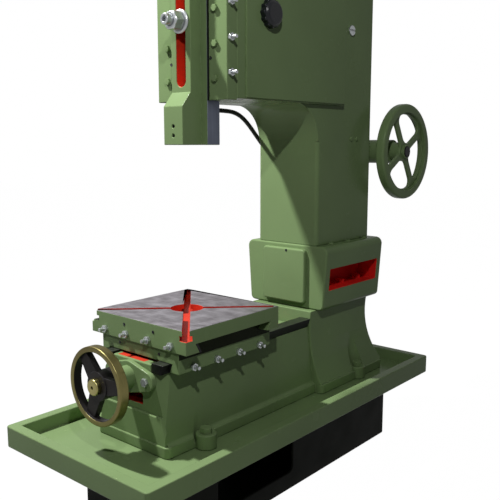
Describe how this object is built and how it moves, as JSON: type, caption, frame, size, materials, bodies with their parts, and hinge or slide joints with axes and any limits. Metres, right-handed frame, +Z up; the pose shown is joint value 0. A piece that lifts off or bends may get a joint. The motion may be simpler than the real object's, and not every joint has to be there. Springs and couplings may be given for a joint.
{
  "type": "slotting machine",
  "caption": "Slotting machine: vertical ram on a hollow column over a square T-slot table on cross slides, with handwheels, drip tray, crank drive and motor.",
  "frame": {"origin": "on the floor, straight below the centre of the table", "axes": "+Z up, +X to the operator's right, +Y back towards the column"},
  "size_m": [0.47, 1.207, 1.531],
  "materials": {
    "green_paint": "semi-gloss machine enamel",
    "ground_iron": "ground",
    "ram_green": "semi-gloss machine enamel with bare ground flanges",
    "black_paint": "satin",
    "motor_grey": "satin",
    "steel": "machined",
    "zinc": "bright zinc plated",
    "dark_steel": "oiled",
    "brass_rim": "polished rim, black spokes",
    "brass": "polished",
    "bronze": "machined",
    "rubber": "matt",
    "black_plastic": "matt"
  },
  "bodies": {
    "frame": {"plinth": "black_paint", "drip_tray": "green_paint", "base_casting": "green_paint", "bed_way_left": "dark_steel", "bed_way_right": "dark_steel", "anchor_bolts": "green_paint", "feed_flange": "green_paint", "feed_flange_bolts": "zinc", "column": "green_paint", "column_bolts": "green_paint", "ledge_screws": "green_paint", "column_foot": "green_paint", "head": "green_paint", "ram_keeper_left": "green_paint", "ram_keeper_right": "green_paint", "keeper_bolts": "green_paint", "ram_gib": "dark_steel", "ram_gib_screws": "zinc", "ram_gib_nuts": "zinc", "crank_bush": "bronze", "drive_chain": "dark_steel", "counter_bracket": "green_paint", "bracket_bolts": "zinc", "drive_belt": "rubber", "motor": "motor_grey", "access_plug": "black_plastic", "sight_plug": "zinc", "cable_glands": "black_plastic", "cable": "rubber"},
    "feed_wheel": {"feed_screw": "steel", "front_handwheel": "brass_rim", "front_hub_nut": "brass"},
    "saddle": {"saddle": "green_paint", "saddle_gib": "dark_steel", "saddle_gib_screws": "zinc", "saddle_gib_nuts": "zinc", "feed_nut": "bronze"},
    "table_screw": {"cross_screw": "steel"},
    "table": {"table": "ground_iron", "table_gib": "dark_steel", "table_gib_screws": "zinc", "table_gib_nuts": "zinc", "cross_nut": "bronze"},
    "countershaft": {"countershaft": "steel", "counter_sprocket": "dark_steel", "counter_pulley": "black_paint", "rear_handwheel": "green_paint"},
    "crank": {"crankshaft": "dark_steel", "crank_sprocket": "dark_steel"},
    "ram_drive": {"ram_block": "dark_steel", "rod_pin": "steel", "clamp_stud": "zinc", "clamp_washer": "zinc", "clamp_nut": "zinc"},
    "rod": {"connecting_rod": "dark_steel", "crank_pin": "steel"},
    "ram": {"ram": "ram_green", "tool_screws": "dark_steel"},
    "rotor": {"motor_shaft": "steel", "motor_pulley": "black_paint"}
  },
  "joints": [
    {"name": "feed_wheel_turn", "type": "hinge", "parent": "frame", "child": "feed_wheel", "pos_m": [0, -0.24, 0.352], "axis": [0, 1, 0], "range_deg": [-2160, 10800]},
    {"name": "saddle_slide", "type": "slide", "parent": "frame", "child": "saddle", "axis": [0, 1, 0], "range_m": [-0.03, 0.15]},
    {"name": "table_slide", "type": "slide", "parent": "saddle", "child": "table", "axis": [1, 0, 0], "range_m": [-0.075, 0.075]},
    {"name": "table_screw_turn", "type": "hinge", "parent": "saddle", "child": "table_screw", "pos_m": [0, 0, 0.4242], "axis": [1, 0, 0], "range_deg": [-5400, 5400]},
    {"name": "countershaft_turn", "type": "hinge", "parent": "frame", "child": "countershaft", "pos_m": [0, 0.739, 0.819], "axis": [1, 0, 0], "range_deg": [0, 809.12]},
    {"name": "ram_stroke", "type": "slide", "parent": "frame", "child": "ram_drive", "axis": [0, 0, 1], "range_m": [-0.1502, 0]},
    {"name": "ram_position", "type": "slide", "parent": "ram_drive", "child": "ram", "axis": [0, 0, 1], "range_m": [0, 0.1]},
    {"name": "crank_turn", "type": "hinge", "parent": "frame", "child": "crank", "pos_m": [0, 0.185, 1.20801], "axis": [1, 0, 0], "range_deg": [0, 202.29]},
    {"name": "rod_swing", "type": "hinge", "parent": "ram_drive", "child": "rod", "pos_m": [0, 0.084, 1.103], "axis": [1, 0, 0], "range_deg": [0, 22.29]},
    {"name": "motor_turn", "type": "hinge", "parent": "frame", "child": "rotor", "pos_m": [0, 0.505, 1.42], "axis": [1, 0, 0], "range_deg": [0, 2528.59]}
  ],
  "couplings": [
    {"joint": "saddle_slide", "follows": "feed_wheel_turn", "m_per_rad": 0.00079577},
    {"joint": "table_screw_turn", "follows": "table_slide", "rad_per_m": 1256.6},
    {"joint": "ram_stroke", "follows": "countershaft_turn", "m_per_rad": -0.010623},
    {"joint": "crank_turn", "follows": "countershaft_turn", "ratio": 0.25},
    {"joint": "rod_swing", "follows": "countershaft_turn", "ratio": 0.027535},
    {"joint": "motor_turn", "follows": "countershaft_turn", "ratio": 3.125}
  ]
}
